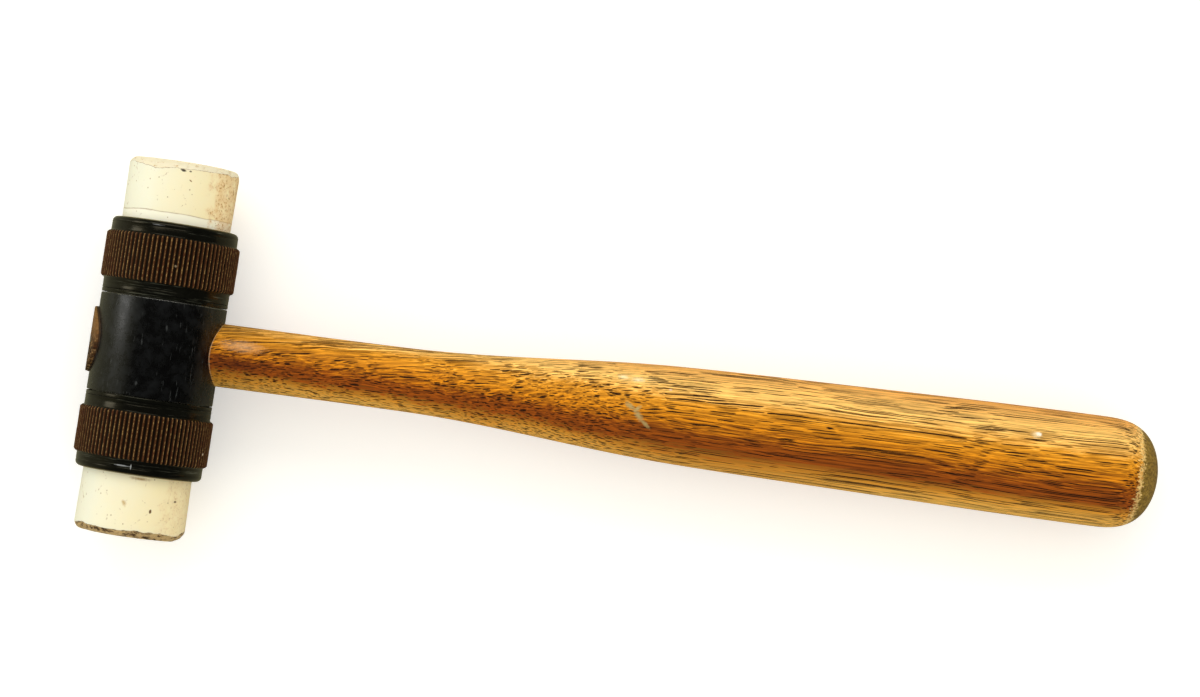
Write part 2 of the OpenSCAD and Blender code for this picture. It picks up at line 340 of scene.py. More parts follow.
def black_enamel():
    """Stoved enamel on steel: deep black and glossy, dulled by fine scratches in all directions."""
    material, tree, mm = start_material("black_enamel", along_head[1])
    height = add(tree, "SeparateXYZ", {"Vector": mm}).outputs["Z"]
    radius = from_axis(tree, mm, (1, 1, 0))
    grime_size = 3.57
    grit_size = 0.526
    grime = add(
        tree, "TexNoise", {"Vector": mm, "Scale": 1 / grime_size, "Detail": 7, "Roughness": 0.68}
    )
    fine = add(tree, "TexNoise", {"Vector": mm, "Scale": 1 / grit_size, "Detail": 4, "Roughness": 0.7})
    # Scratches are drawn 0.2 to 0.3 mm wide, coarser than they are, so that they show
    scratch_len = 5
    scratches = 0
    for turn, width in ((0.5, 0.2778), (-0.9, 0.2083), (1.9, 0.25)):
        stretch = (1 / scratch_len, 1 / width, 1 / scratch_len)
        laid = add(tree, "Mapping", {"Vector": mm, "Rotation": (turn, turn / 2, turn), "Scale": stretch})
        hair = add(tree, "TexNoise", {"Vector": laid, "Scale": 1, "Detail": 2})
        line = add(tree, "MapRange", {"Value": hair, "From Min": 0.68, "From Max": 0.76})
        scratches = add(tree, "Math", {0: scratches, 1: line}, operation="MAXIMUM")
    # The edge towards the upper collar has lost its enamel in a thin line, the other only in spots
    upper_edge = add(
        tree, "MapRange", {"Value": height, "From Min": shoulder - 0.5, "From Max": shoulder - 0.2}
    )
    lower_edge = add(
        tree,
        "MapRange",
        {"Value": height, "From Min": 0.3 - shoulder, "From Max": 0.1 - shoulder, "To Max": 0.75},
    )
    edge = add(tree, "Math", {0: upper_edge, 1: lower_edge}, operation="MAXIMUM")
    worn_edge = add(tree, "Math", {0: edge, 1: fine}, operation="MULTIPLY")
    bare = add(
        tree,
        "MapRange",
        {"Value": worn_edge, "From Min": 0.43, "From Max": 0.56},
        interpolation_type="SMOOTHSTEP",
    )
    on_spigot = add(tree, "Math", {0: radius, 1: barrel_r - 0.75}, operation="LESS_THAN")
    dull = add(
        tree,
        "MapRange",
        {"Value": grime, "From Min": 0.42, "From Max": 0.7},
        interpolation_type="SMOOTHSTEP",
    )
    colour = add(tree, "MixRGB", {"Fac": dull, "Color1": linear("030304"), "Color2": linear("101214")})
    colour = add(tree, "MixRGB", {"Fac": scratches, "Color1": colour, "Color2": linear("3a3c3c")})
    colour = add(tree, "MixRGB", {"Fac": bare, "Color1": colour, "Color2": linear("96958c")})
    spigot_steel = add(
        tree, "MixRGB", {"Fac": fine, "Color1": linear("4c4943"), "Color2": linear("8c887e")}
    )
    colour = add(tree, "MixRGB", {"Fac": on_spigot, "Color1": colour, "Color2": spigot_steel})
    metal = add(tree, "Math", {0: on_spigot, 1: 0.6, 2: bare}, operation="MULTIPLY_ADD")
    rough = add(
        tree,
        "MapRange",
        {"Value": grime, "From Min": 0.3, "From Max": 0.7, "To Min": 0.16, "To Max": 0.4},
    )
    relief = add(tree, "Math", {0: fine, 1: scratches}, operation="SUBTRACT")
    bump = add(tree, "Bump", {"Height": relief, "Strength": 0.3, "Distance": 0.00006})
    shader = add(
        tree,
        "BsdfPrincipled",
        {"Base Color": colour, "Metallic": metal, "Roughness": rough, "IOR": 1.52, "Normal": bump},
    )
    add(tree, "OutputMaterial", {"Surface": shader})
    return material


dress(barrel, black_enamel(), "head", ["head_body"])


# Collars
# Two alike rings of blackened steel, turned with a smooth band at each end of a straight knurl.
# An inner thread screws on to the spigot, and the lip at the outer end clamps the face.
joint_gap = 0.2
inner_band_len = 4.5
outer_band_len = 4.2
collar_start = shoulder + joint_gap
flange_end = 31
collar_end = knurl_high.y / MM
knurl_start = shoulder + inner_band_len
knurl_end = collar_end - outer_band_len
knurl_foot_r = barrel_r + 0.45
knurl_count = 88
knurl_depth = 0.5
knurl_rows = 12
rim_round = 1.4
mouth_round = 0.3
start_round = 0.25
root_round = 0.5
tool_mark_w = 0.3
mouth_r = 15.9
bore_r = 16.72
collar_root_r = 17.22
collar_relief_r = 17.28
knurl_bevel = 0.525
crest_len = knurl_end - knurl_start - 2 * knurl_bevel
steps_per_ridge = 10


def tool_mark(z, deep):
    """A shallow turned groove round a smooth band, in outline."""
    return [(barrel_r, z - tool_mark_w / 2), (barrel_r - deep, z), (barrel_r, z + tool_mark_w / 2)]


collar_outline = (
    [
        (bore_r, spigot_end),
        (collar_relief_r, spigot_end),
        (collar_relief_r, thread_top),
        (collar_root_r, thread_top),
        (collar_root_r, collar_start + relief_len),
        (collar_relief_r, collar_start + relief_len),
        (collar_relief_r, collar_start),
    ]
    + arc((barrel_r - start_round, collar_start + start_round), start_round, -90, 0, 4)
    + tool_mark(collar_start + 1.1, deep=0.14)
    + tool_mark(collar_start + 2.2, deep=0.07)
    + arc((barrel_r + root_round, knurl_start - root_round), root_round, 180, 90, 4)
    + [
        (knurl_r - knurl_bevel, knurl_start),
        (knurl_r - knurl_bevel / 2, knurl_start + knurl_bevel / 2),
        (knurl_r, knurl_start + knurl_bevel),
    ]
    + [(knurl_r, knurl_start + knurl_bevel + crest_len * i / knurl_rows) for i in range(1, knurl_rows)]
    + [
        (knurl_r, knurl_end - knurl_bevel),
        (knurl_r - knurl_bevel / 2, knurl_end - knurl_bevel / 2),
        (knurl_r - knurl_bevel, knurl_end),
    ]
    + arc((barrel_r + root_round, knurl_end + root_round), root_round, -90, -180, 4)
    + tool_mark(collar_end - rim_round - 0.35, deep=0.1)
    + arc((barrel_r - rim_round, collar_end - rim_round), rim_round, 0, 90, 8)
    + arc((mouth_r + mouth_round, collar_end - mouth_round), mouth_round, 90, 180, 4)
    + [(mouth_r, flange_end), (bore_r, flange_end), (bore_r, spigot_end)]
)

inner_first = thread_first + thread_pitch / 2
inner_turns = (thread_top - thread_margin - inner_first) / thread_pitch
inner_crest_half = 0.34
inner_foot_half = inner_crest_half + (collar_root_r - bore_r + sunk) * flank_run
collar_section = [
    (collar_root_r + sunk, inner_first - inner_foot_half),
    (bore_r, inner_first - inner_crest_half),
    (bore_r, inner_first + inner_crest_half),
    (collar_root_r + sunk, inner_first + inner_foot_half),
]


def press_knurl(collar, seed):
    """Presses the knurl's grooves into a collar along Z, with nicks where it has been gripped."""
    flat_share = 0.1
    flank_share = 0.66
    rubbed_depth = 0.09
    nick_start = 0.45
    ridge_share = collar.data.attributes.new("ridge", "FLOAT", "POINT")
    for i, vertex in enumerate(collar.data.vertices):
        radius = math.hypot(vertex.co.x, vertex.co.y)
        if radius < knurl_foot_r or not knurl_start - near < vertex.co.z < knurl_end + near:
            continue
        angle = math.atan2(vertex.co.y, vertex.co.x)
        turn = angle / (2 * math.pi) * knurl_count
        across = abs(turn - round(turn)) * 2
        ridge_share.data[i].value = 1 - across
        groove = min(1, max(0, (across - flat_share) / flank_share))
        groove = groove * groove * (3 - 2 * groove)
        worn = rubbed_depth * noise.noise(Vector((round(turn) * 0.7, vertex.co.z * 0.35, seed)))
        nick = noise.noise(Vector((round(turn) * 0.9, vertex.co.z * 0.9, seed + 7))) - nick_start
        deep = min(knurl_depth, knurl_depth * groove + max(0, worn) + max(0, nick) * 0.9)
        limit = knurl_r - deep
        vertex.co.xy *= min(radius, limit) / radius


def blackened_steel(name, place, marks):
    """Oil-blackened steel, rubbed bare on the knurl's crests and rusty brown in its grooves. The crests are
    also painted pale for the thin highlights that they catch.
    """
    material, tree, mm = start_material(name, place)
    radius = from_axis(tree, mm, (1, 1, 0))
    patch_size = 5
    grit_size = 0.625
    patches = add(tree, "TexNoise", {"Vector": mm, "Scale": 1 / patch_size, "Detail": 5, "Roughness": 0.6})
    fine = add(tree, "TexNoise", {"Vector": mm, "Scale": 1 / grit_size, "Detail": 5, "Roughness": 0.7})
    # Turned lines run round the bands, drawn coarser than they are, and fade in and out on the way. Their
    # pale colour is partly painted highlight, the glint that each line catches.
    line_len = 14.3
    line_gap = 0.4167
    line_scale = (1 / line_len, 1 / line_len, 1 / line_gap)
    ring_space = add(tree, "VectorMath", {0: mm, 1: line_scale}, operation="MULTIPLY")
    turning = add(tree, "TexNoise", {"Vector": ring_space, "Scale": 1, "Detail": 3, "Roughness": 0.75})
    streak = add(
        tree,
        "MapRange",
        {"Value": turning, "From Min": 0.57, "From Max": 0.7, "To Max": 0.8},
        interpolation_type="SMOOTHSTEP",
    )
    in_knurl = add(tree, "Math", {0: radius, 1: knurl_foot_r}, operation="GREATER_THAN")
    ridge_share = add(tree, "Attribute", attribute_name="ridge").outputs["Fac"]
    # Pale crests: partly bare steel, partly a painted highlight along each crest
    rubbed = add(tree, "Math", {0: fine, 1: 0.9, 2: ridge_share}, operation="MULTIPLY_ADD")
    bare_crest_and_glint = add(tree, "MapRange", {"Value": rubbed, "From Min": 1.37, "From Max": 1.49})
    bare_crest_and_glint = add(tree, "Math", {0: bare_crest_and_glint, 1: in_knurl}, operation="MULTIPLY")
    flank = add(
        tree,
        "MapRange",
        {"Value": ridge_share, "From Min": 0.3, "From Max": 0.85},
        interpolation_type="SMOOTHSTEP",
    )
    inside = add(tree, "Math", {0: radius, 1: collar_root_r + 0.2}, operation="LESS_THAN")
    band = add(tree, "MixRGB", {"Fac": patches, "Color1": linear("030303"), "Color2": linear("12130f")})
    # The pale streaks paint the highlights along the turned lines
    band = add(tree, "MixRGB", {"Fac": streak, "Color1": band, "Color2": linear("4a4b40")})
    rust = add(tree, "MixRGB", {"Fac": patches, "Color1": linear("521c08"), "Color2": linear("4a300e")})
    knurl = add(tree, "MixRGB", {"Fac": flank, "Color1": linear("140502"), "Color2": rust})
    knurl = add(tree, "MixRGB", {"Fac": bare_crest_and_glint, "Color1": knurl, "Color2": linear("b8965c")})
    colour = add(tree, "MixRGB", {"Fac": in_knurl, "Color1": band, "Color2": knurl})
    colour = add(tree, "MixRGB", {"Fac": inside, "Color1": colour, "Color2": linear("5b5750")})
    colour = marked(tree, mm, colour, marks)
    metal = add(tree, "Math", {0: bare_crest_and_glint, 1: 0.3, 2: inside}, operation="MULTIPLY_ADD")
    rough = add(tree, "MapRange", {"Value": in_knurl, "To Min": 0.18, "To Max": 0.6})
    bump = add(tree, "Bump", {"Height": turning, "Strength": 0.4, "Distance": 0.00005})
    shader = add(
        tree,
        "BsdfPrincipled",
        {
            "Base Color": colour,
            "Metallic": metal,
            "Roughness": rough,
            "Specular IOR Level": 0.3,
            "Specular Tint": linear("fff0c8"),
            "Normal": bump,
        },
    )
    add(tree, "OutputMaterial", {"Surface": shader})
    return material


blank = turned("upper_knurled_collar", collar_outline, knurl_count * steps_per_ridge)
combine(blank, ridge("thread", collar_section, inner_turns, collar_root_r), "UNION")
# Scuffs on the outer bands, and a nick in each knurl
band_marks = {
    "upper": (
        ((-4, -18, 34.6), (0, 0, 0), (3.2, 0.8, 0.22), 0.5, "6f7174"),
        ((3.5, -18.4, 23.8), (0, 0, 0), (0.5, 2, 0.4), 0.5, "8c7c64"),
    ),
    "lower": (
        ((-3.2, 17.7, 33.6), (0, 0, 0), (3.4, 0.8, 0.22), 0.4, "8d9092"),
        ((-0.4, 17.9, 33.6), (0, 0, 0), (0.22, 0.8, 0.9), 0.4, "9a9c9c"),
        ((18.1, 6.2, 27.6), (0, 0, 0.4), (2, 0.7, 0.7), 0.4, "e6d8bc"),
    ),
}
take(blank)
bpy.ops.object.duplicate()
second = bpy.context.object
second.name = "lower_knurled_collar"
for side, end, collar in ((1, "upper", blank), (-1, "lower", second)):
    press_knurl(collar, 3 * side)
    put(collar, along_head[side], smooth_angle=40)
    steel = blackened_steel(f"blackened_steel_{end}", along_head[side], band_marks[end])
    dress(collar, steel, f"{end}_collar", [f"{end}_collar"])


# Striking faces
# Two alike plugs of cast cream plastic, each with a flange that its collar clamps. Blows have
# broken up the edge round the striking surface, and dirt has settled where it is rough.
face_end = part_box("upper_face")[1].y / MM
face_r = 15.75
face_flare = 0.35
flange_r = 16.45
flange_bevel = 0.3
edge_len = 6
edge_start = face_end - edge_len
face_foot_r = face_r - face_flare
body_rings = 34
edge_rings = 20
disc_rings = 26


def side_r(z):
    """Radius of a striking face at a distance z along the head axis."""
    return face_foot_r + face_flare * (z - flange_end) / (face_end - flange_end)


body_heights = [flange_end + (edge_start - flange_end) * i / body_rings for i in range(body_rings)]
edge_heights = [edge_start + edge_len * i / edge_rings for i in range(edge_rings + 1)]
face_outline = (
    [
        (0, spigot_end),
        (flange_r - flange_bevel, spigot_end),
        (flange_r, spigot_end + flange_bevel),
        (flange_r, flange_end),
    ]
    + [(side_r(z), z) for z in body_heights + edge_heights]
    + [(face_r * (1 - i / disc_rings), face_end) for i in range(1, disc_rings + 1)]
)


def cast_face(name, seed, edge_size, edge_spread, ragged):
    """A face along Z: the edge is worn away to an uneven round, and broken up where it is worn."""
    least_size = 0.8
    least_step = 0.12
    face = turned(name, face_outline, steps=288)
    worn = face.data.attributes.new("worn", "FLOAT", "POINT")
    for i, vertex in enumerate(face.data.vertices):
        radius = math.hypot(vertex.co.x, vertex.co.y)
        if vertex.co.z < edge_start - near:
            continue
        direction = Vector((vertex.co.x, vertex.co.y, 0)).normalized()
        around = direction * 1.6 + Vector((0, 0, seed))
        size = max(least_size, edge_size + edge_spread * noise.fractal(around, 0.9, 2.2, 4))
        deep = size - (face_end - vertex.co.z)
        inwards = size - (side_r(vertex.co.z) - radius)
        on_disc = vertex.co.z > face_end - near
        if inwards <= 0 or (deep <= 0 and not on_disc):
            continue
        # The point moves on to the round that the wear has left, and then in by a broken step
        if on_disc:
            across = radius - (face_r - size)
            if across <= 0:
                continue
            share = min(1, across / size)
            vertex.co.z = face_end - size * (1 - math.sqrt(max(0, 1 - share * share)))
            worn.data[i].value = min(1, share * 1.6)
        else:
            share = min(1, deep / size)
            cut = size * (1 - math.sqrt(max(0, 1 - share * share)))
            vertex.co.xy *= (radius - cut) / radius
            worn.data[i].value = min(1, share * 2.5)
        rough = noise.fractal(vertex.co * 0.9 + Vector((0, 0, seed * 9)), 0.6, 2.1, 4)
        step = ragged * (least_step + max(0, rough) * 0.5) * worn.data[i].value
        vertex.co.xy *= 1 - step / max(radius, 1)
        vertex.co.z -= step * 0.6
    return face


def crumbly_side(tree, mm, fine, coarse, colour, flank_tint):
    """The side towards the handle is tinted orange-brown in patches, and pitted with brown."""
    side = add(tree, "SeparateXYZ", {"Vector": mm}).outputs["X"]
    flank = add(tree, "MapRange", {"Value": side, "From Min": 3, "From Max": 13})
    flank = add(tree, "Math", {0: flank, 1: coarse}, operation="MULTIPLY")
    flank = add(
        tree,
        "MapRange",
        {"Value": flank, "From Min": 0.25, "From Max": 0.5, "To Max": flank_tint},
        interpolation_type="SMOOTHSTEP",
    )
    tinted = add(tree, "Math", {0: flank, 1: coarse}, operation="MULTIPLY")
    colour = add(tree, "MixRGB", {"Fac": tinted, "Color1": colour, "Color2": linear("e4b878")})
    for least, most, code in ((0.52, 0.62, "cf9a50"), (0.6, 0.68, "7e5420")):
        pits = add(tree, "MapRange", {"Value": fine, "From Min": least, "From Max": most})
        pits = add(tree, "Math", {0: pits, 1: flank}, operation="MULTIPLY")
        colour = add(tree, "MixRGB", {"Fac": pits, "Color1": colour, "Color2": linear(code)})
    return colour


def cracks_and_specks(tree, mm, fine, coarse, colour):
    """A few fine cracks and small specks."""
    crack_gap = 6.25
    speck_gap = 2.381
    hair_net = add(
        tree, "TexVoronoi", {"Vector": mm, "Scale": 1 / crack_gap}, feature="DISTANCE_TO_EDGE"
    )
    hair = add(tree, "Math", {0: fine, 1: 0.3, 2: hair_net}, operation="MULTIPLY_ADD")
    hair = add(tree, "MapRange", {"Value": hair, "From Min": 0.158, "From Max": 0.14, "To Max": 0.5})
    some = add(tree, "MapRange", {"Value": coarse, "From Min": 0.53, "From Max": 0.6})
    hair = add(tree, "Math", {0: hair, 1: some}, operation="MULTIPLY")
    colour = add(tree, "MixRGB", {"Fac": hair, "Color1": colour, "Color2": linear("a07c44")})
    specks = add(tree, "TexVoronoi", {"Vector": mm, "Scale": 1 / speck_gap})
    speck = add(tree, "MapRange", {"Value": specks, "From Min": 0.1, "From Max": 0.07, "To Max": 0.7})
    return add(tree, "MixRGB", {"Fac": speck, "Color1": colour, "Color2": linear("a5874e")})


def broken_edge(tree, mm, fine, coarse, colour, edge_codes, crumb_start):
    """The broken edge, full of crumbs and crevices, and the crack that bounds it."""
    broken, deep_dirt, crack = edge_codes
    crumb_w = 2
    crumb_height = 0.909
    worn = add(tree, "Attribute", attribute_name="worn").outputs["Fac"]
    rough_edge = add(tree, "Math", {0: fine, 1: 0.5, 2: worn}, operation="MULTIPLY_ADD")
    on_edge = add(tree, "MapRange", {"Value": rough_edge, "From Min": 0.42, "From Max": 0.5})
    crumb_scale = (1 / crumb_w, 1 / crumb_w, 1 / crumb_height)
    crumb_space = add(tree, "VectorMath", {0: mm, 1: crumb_scale}, operation="MULTIPLY")
    crumbs = add(tree, "TexNoise", {"Vector": crumb_space, "Scale": 1, "Detail": 7, "Roughness": 0.75})
    crevice = add(
        tree,
        "MapRange",
        {"Value": crumbs, "From Min": crumb_start, "From Max": crumb_start + 0.12},
        interpolation_type="SMOOTHSTEP",
    )
    edge_colour = add(
        tree, "MixRGB", {"Fac": crevice, "Color1": linear(broken), "Color2": linear(deep_dirt)}
    )
    colour = add(tree, "MixRGB", {"Fac": on_edge, "Color1": colour, "Color2": edge_colour})
    bound = add(tree, "Math", {0: rough_edge, 1: 0.45, 2: 0.045}, operation="COMPARE")
    bound = add(tree, "Math", {0: bound, 1: coarse}, operation="MULTIPLY")
    bound = add(tree, "MapRange", {"Value": bound, "From Min": 0.33, "From Max": 0.43, "To Max": 0.9})
    return add(tree, "MixRGB", {"Fac": bound, "Color1": colour, "Color2": linear(crack)})


def cream_plastic(name, place, edge_codes, crumb_start, parting, flank_tint, marks):
    """Cast plastic: satin cream, yellowed, cracked finely, its broken edge rubbed full of dirt."""
    material, tree, mm = start_material(name, place)
    split = add(tree, "SeparateXYZ", {"Vector": mm})
    patch_size = 10
    clot_size = 2.857
    grit_size = 0.7692
    patches = add(tree, "TexNoise", {"Vector": mm, "Scale": 1 / patch_size, "Detail": 4})
    fine = add(tree, "TexNoise", {"Vector": mm, "Scale": 1 / grit_size, "Detail": 6, "Roughness": 0.7})
    coarse = add(tree, "TexNoise", {"Vector": mm, "Scale": 1 / clot_size, "Detail": 4, "Roughness": 0.6})
    # The plastic is whiter on the side away from the handle and more yellow on the side towards it
    handle_side_tint = add(tree, "Math", {0: patches, 1: 14, 2: split.outputs["X"]}, operation="MULTIPLY_ADD")
    handle_side_tint = add(tree, "MapRange", {"Value": handle_side_tint, "From Min": -4, "From Max": 18})
    colour = add(tree, "MixRGB", {"Fac": handle_side_tint, "Color1": linear("f3f1d8"), "Color2": linear("ffefbe")})
    # The mould's parting line, with paler plastic between it and the collar, painted paler still to lift
    # the shade beside the collar
    bent = add(tree, "Math", {0: patches, 1: 1.2, 2: split.outputs["Z"]}, operation="MULTIPLY_ADD")
    below = add(
        tree, "MapRange", {"Value": bent, "From Min": parting + 0.75, "From Max": parting + 0.6}
    )
    line = add(tree, "Math", {0: bent, 1: parting + 0.72, 2: 0.14}, operation="COMPARE")
    line = add(tree, "Math", {0: line, 1: coarse}, operation="MULTIPLY")
    # Painted light: this band is brightened to cancel the shade next to the collar
    pale = add(tree, "Math", {0: below, 1: 0.9}, operation="MULTIPLY")
    colour = add(tree, "MixRGB", {"Fac": pale, "Color1": colour, "Color2": linear("fffbe4")})
    colour = add(tree, "MixRGB", {"Fac": line, "Color1": colour, "Color2": linear("a08250")})
    colour = crumbly_side(tree, mm, fine, coarse, colour, flank_tint)
    colour = cracks_and_specks(tree, mm, fine, coarse, colour)
    colour = broken_edge(tree, mm, fine, coarse, colour, edge_codes, crumb_start)
    colour = marked(tree, mm, colour, marks)
    bump = add(tree, "Bump", {"Height": fine, "Strength": 0.25, "Distance": 0.0001})
    shader = add(
        tree,
        "BsdfPrincipled",
        {
            "Base Color": colour,
            "Roughness": 0.42,
            "IOR": 1.49,
            "Subsurface Weight": 0.12,
            "Subsurface Radius": (0.004, 0.003, 0.0015),
            "Subsurface Scale": 0.5,
            "Normal": bump,
        },
    )
    add(tree, "OutputMaterial", {"Surface": shader})
    return material


edge_codes = {"upper": ("f6eac6", "c89a54", "94642a"), "lower": ("c9a76e", "4a2f12", "3c240c")}
crumb_start = {"upper": 0.54, "lower": 0.47}
parting = {"upper": collar_end + 2.5, "lower": collar_end - 3}
# Chips, stains and specks that stand out, and a tan band on the lower face just beyond its collar
face_marks = {
    "upper": (
        ((1.2, -15.6, 50.9), (0, 0.2, 0), (1.1, 1, 0.45), 0.4, "57503e"),
        ((3.2, -15.2, 50.9), (0, 0, 0), (0.45, 1, 0.3), 0.4, "6b6046"),
        ((3.6, -15.3, 48.3), (0, 0.6, 0), (0.6, 1, 0.25), 0.5, "94743c"),
    ),
    "lower": (
        ((6.5, 14.2, 45.4), (0, 0, 0), (0.45, 1, 0.7), 0.4, "6e5128"),
        ((12.5, 9.3, 42), (0, 0, 0), (0.5, 1, 0.35), 0.4, "6a4a28"),
        ((-1, 15.4, 44), (0, 0.5, 0), (0.8, 1, 1.3), 0.9, "c9a868"),
        # A tan band just beyond the collar
        ((2.6, 15.2, 36.7), (0, 0, 0), (3.6, 2, 0.6), 0.9, "b08c52"),
    ),
}
flank_tint = {"upper": 0.9, "lower": 0.3}
for side, end, ragged in ((1, "upper", 0.7), (-1, "lower", 1.2)):
    face = cast_face(f"{end}_striking_face", 5 + side, edge_size=2.2, edge_spread=1.1, ragged=ragged)
    put(face, along_head[side], smooth_angle=35)
    plastic = cream_plastic(
        f"cream_plastic_{end}",
        along_head[side],
        edge_codes[end],
        crumb_start[end],
        parting[end],
        flank_tint[end],
        face_marks[end],
    )
    dress(face, plastic, f"{end}_face", [f"{end}_face"])


# Handle
# One piece of oiled hickory turned to a slim neck and a full grip, with a tenon that fills the
# eye. The tenon is slit for the wedges, and stands a little proud of the barrel.
handle_reach = 291.5
butt_len = handle_reach - butt_start
butt_fullness = 3.5
tenon_round = 0.25
stations = [
    (barrel_r, neck_r),
    (45, neck_r),
    (72, 9.2),
    (150, 14.15),
    (190, 15.05),
    (butt_start, grip_r),
]


def slope(i):
    """Slope of the handle's outline at a station, which keeps it free of bumps between them."""
    if i in (0, len(stations) - 1):
        return 0
    before = (stations[i][1] - stations[i - 1][1]) / (stations[i][0] - stations[i - 1][0])
    after = (stations[i + 1][1] - stations[i][1]) / (stations[i + 1][0] - stations[i][0])
    return 0 if before * after <= 0 else 2 * before * after / (before + after)


def shaft_point(i, t):
    """Radius and distance of the outline between station i and the next, a share t of the way."""
    (x0, r0), (x1, r1) = stations[i], stations[i + 1]
    run = x1 - x0
    from_first = 2 * t ** 3 - 3 * t ** 2 + 1
    bend = run * ((t ** 3 - 2 * t ** 2 + t) * slope(i) + (t ** 3 - t ** 2) * slope(i + 1))
    return (from_first * r0 + (1 - from_first) * r1 + bend, x0 + run * t)


parts_between = [5, 6, 24, 12, 24]
shaft = [shaft_point(i, k / parts) for i, parts in enumerate(parts_between) for k in range(parts)]
butt_steps = 36
butt = [
    (grip_r * math.cos(a), butt_start + butt_len * math.sin(a) ** (2 / butt_fullness))
    for a in [math.pi / 2 * k / butt_steps for k in range(butt_steps)]
]
tenon_r = eye_r(-tenon_end)
tenon_rings = 20
handle_outline = (
    [((tenon_r - tenon_round) * i / tenon_rings, -tenon_end) for i in range(tenon_rings)]
    + arc((tenon_r - tenon_round, -tenon_end + tenon_round), tenon_round, -90, 0, 3)
    + shaft
    + butt
    + [(0, handle_reach)]
)
handle = turned("hickory_handle", handle_outline, steps=128)

# After wedging, the end was filed to the barrel's curve, which crushed and dented its fibres. Each
# point that moves along the tenon also moves in or out, to stay on the eye's taper.
dent_depth = 0.12
for vertex in handle.data.vertices:
    if vertex.co.z < -tenon_end + tenon_round + near:
        filed = -math.sqrt(tenon_end ** 2 - vertex.co.x ** 2) + vertex.co.y * math.tan(handle_skew)
        before = vertex.co.z
        dent = noise.fractal(Vector((vertex.co.x * 0.8, vertex.co.y * 0.8, 3)), 0.8, 2, 3)
        vertex.co.z += filed + tenon_end + max(0, dent_depth * dent)
        radius = math.hypot(vertex.co.x, vertex.co.y)
        if radius > 1:
            vertex.co.xy *= 1 - (eye_r(before) - eye_r(vertex.co.z)) / radius

wedge_tip = 0.6


def wedge_cutter(thick, depth, width, across):
    """A tapered slab from past the tenon's end inwards, thick along X, or along Y if across."""
    bpy.ops.object.select_all(action="DESELECT")
    bpy.ops.mesh.primitive_cube_add(size=1)
    cutter = bpy.context.object
    taper = (thick - wedge_tip) / 2 / depth
    for vertex in cutter.data.vertices:
        outer = vertex.co.z < 0
        half = thick / 2 + taper if outer else wedge_tip / 2
        z = -tenon_end - overshoot if outer else -tenon_end + depth
        x = math.copysign(half, vertex.co.x)
        y = math.copysign(width / 2, vertex.co.y)
        vertex.co = (y, x, z) if across else (x, y, z)
    return cutter


# The slit for the wooden wedge, and the shorter one for the steel wedge across it
for thick, depth, width, across in ((3.2, 26, 22, False), (2.2, 14, 12, True)):
    combine(handle, wedge_cutter(thick, depth, width, across), "DIFFERENCE")
put(handle, along_handle, smooth_angle=35)


def grain_run(tree, mm):
    """Slants the grain out of the neck, lets it run straight along the grip, and makes it waver."""
    slant_end = 190
    slant_bend = (0.0005, 0.0004, 0)
    sway_w = 33.3
    sway_len = 100
    sway_by = (7, 7, 0)
    waver_w = 4.55
    waver_len = 11.76
    along = add(tree, "SeparateXYZ", {"Vector": mm}).outputs["Z"]
    slant = add(
        tree, "MapRange", {"Value": along, "From Min": slant_end, "From Max": 0, "To Max": slant_end}
    )
    slant = add(tree, "Math", {0: slant, 1: 2}, operation="POWER")
    sway_scale = (1 / sway_w, 1 / sway_w, 1 / sway_len)
    slow = add(tree, "VectorMath", {0: mm, 1: sway_scale}, operation="MULTIPLY")
    sway = add(tree, "TexNoise", {"Vector": slow, "Scale": 1, "Detail": 1}).outputs["Color"]
    waver_scale = (1 / waver_w, 1 / waver_w, 1 / waver_len)
    quick = add(tree, "VectorMath", {0: mm, 1: waver_scale}, operation="MULTIPLY")
    waver = add(tree, "TexNoise", {"Vector": quick, "Scale": 1, "Detail": 3}).outputs["Color"]
    calmer = add(
        tree,
        "MapRange",
        {"Value": along, "From Min": 120, "From Max": 200, "To Min": 1.6, "To Max": 0.6},
    )
    waver = add(tree, "VectorMath", {0: waver, "Scale": calmer}, operation="SCALE")
    grain = add(tree, "VectorMath", {0: slant, 1: slant_bend, 2: mm}, operation="MULTIPLY_ADD")
    grain = add(tree, "VectorMath", {0: sway, 1: sway_by, 2: grain}, operation="MULTIPLY_ADD")
    return add(tree, "VectorMath", {0: waver, 1: (1, 1, 0), 2: grain}, operation="MULTIPLY_ADD")


def open_pores(tree, grain):
    """Yearly rings round a pith outside the handle, each starting with a row of wide vessels."""
    ring_w = 2
    pith = (34, -26, 0)
    # The vessels are drawn a little coarser than they are, so that they show
    vessel_gap = 0.5
    from_pith = add(tree, "VectorMath", {0: grain, 1: pith}, operation="SUBTRACT")
    distance = from_axis(tree, from_pith, (1, 1, 0))
    ring = add(tree, "Math", {0: distance, 1: ring_w}, operation="DIVIDE")
    phase = add(tree, "Math", {0: ring}, operation="FRACT")
    early = add(
        tree,
        "MapRange",
        {"Value": phase, "From Min": 0.5, "From Max": 0.25},
        interpolation_type="SMOOTHSTEP",
    )
    vessel_space = add(tree, "VectorMath", {0: grain, "Scale": 1 / vessel_gap}, operation="SCALE")
    vessels = add(tree, "TexVoronoi", {"Vector": vessel_space, "Scale": 1}, voronoi_dimensions="2D")
    own_size = add(tree, "SeparateColor", {"Color": vessels.outputs["Color"]})
    wide = add(tree, "MapRange", {"Value": early, "To Min": 0.34, "To Max": 0.46})
    wide = add(tree, "MapRange", {"Value": own_size, "To Min": 0.08, "To Max": wide.outputs[0]})
    pore = add(tree, "Math", {0: wide, 1: vessels}, operation="SUBTRACT")
    pore = add(
        tree,
        "MapRange",
        {"Value": pore, "From Min": -0.04, "From Max": 0.06},
        interpolation_type="SMOOTHSTEP",
    )
    return early, pore


